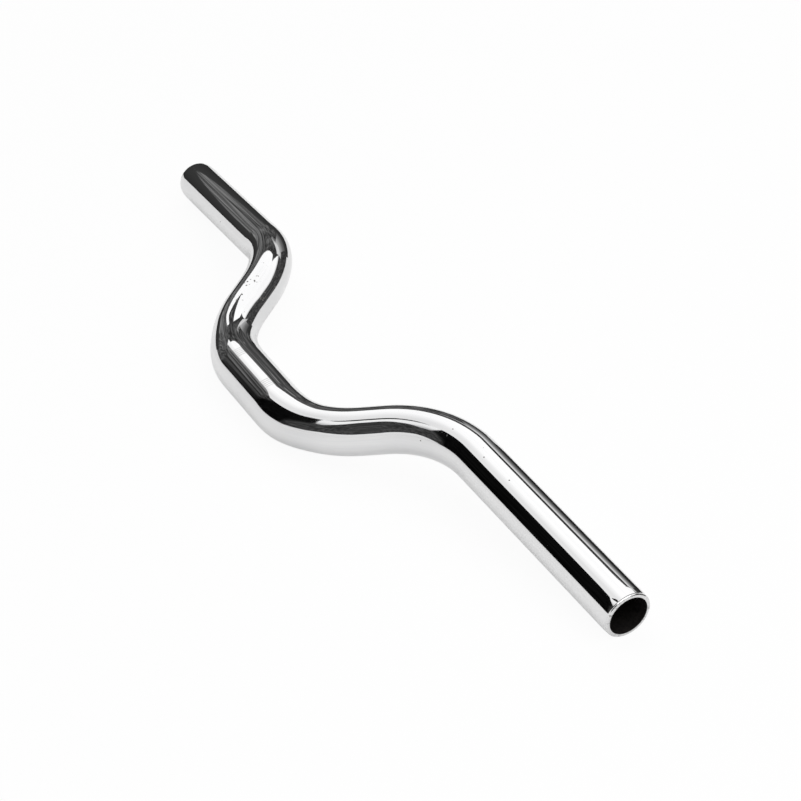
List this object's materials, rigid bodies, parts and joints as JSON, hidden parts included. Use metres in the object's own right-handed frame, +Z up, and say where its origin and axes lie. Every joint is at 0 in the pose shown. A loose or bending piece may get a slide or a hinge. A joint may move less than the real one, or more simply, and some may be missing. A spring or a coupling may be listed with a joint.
{
  "type": "riser handlebar",
  "caption": "Low riser bicycle handlebar in polished chrome: a bent tube with a thicker clamp section, smooth bends up to swept straight grips, and open ends.",
  "frame": {"origin": "middle of the straight clamp section, on the tube's centre line", "axes": "+X along the clamp section, +Y the way the bar rises towards its grips, +Z up from the surface that it lies on"},
  "size_m": [0.4678, 0.0852, 0.0364],
  "materials": {
    "chrome": "polished chrome plating on a steel tube, bare dark steel inside"
  },
  "bodies": {
    "root": {"handlebar": "chrome"}
  },
  "joints": []
}
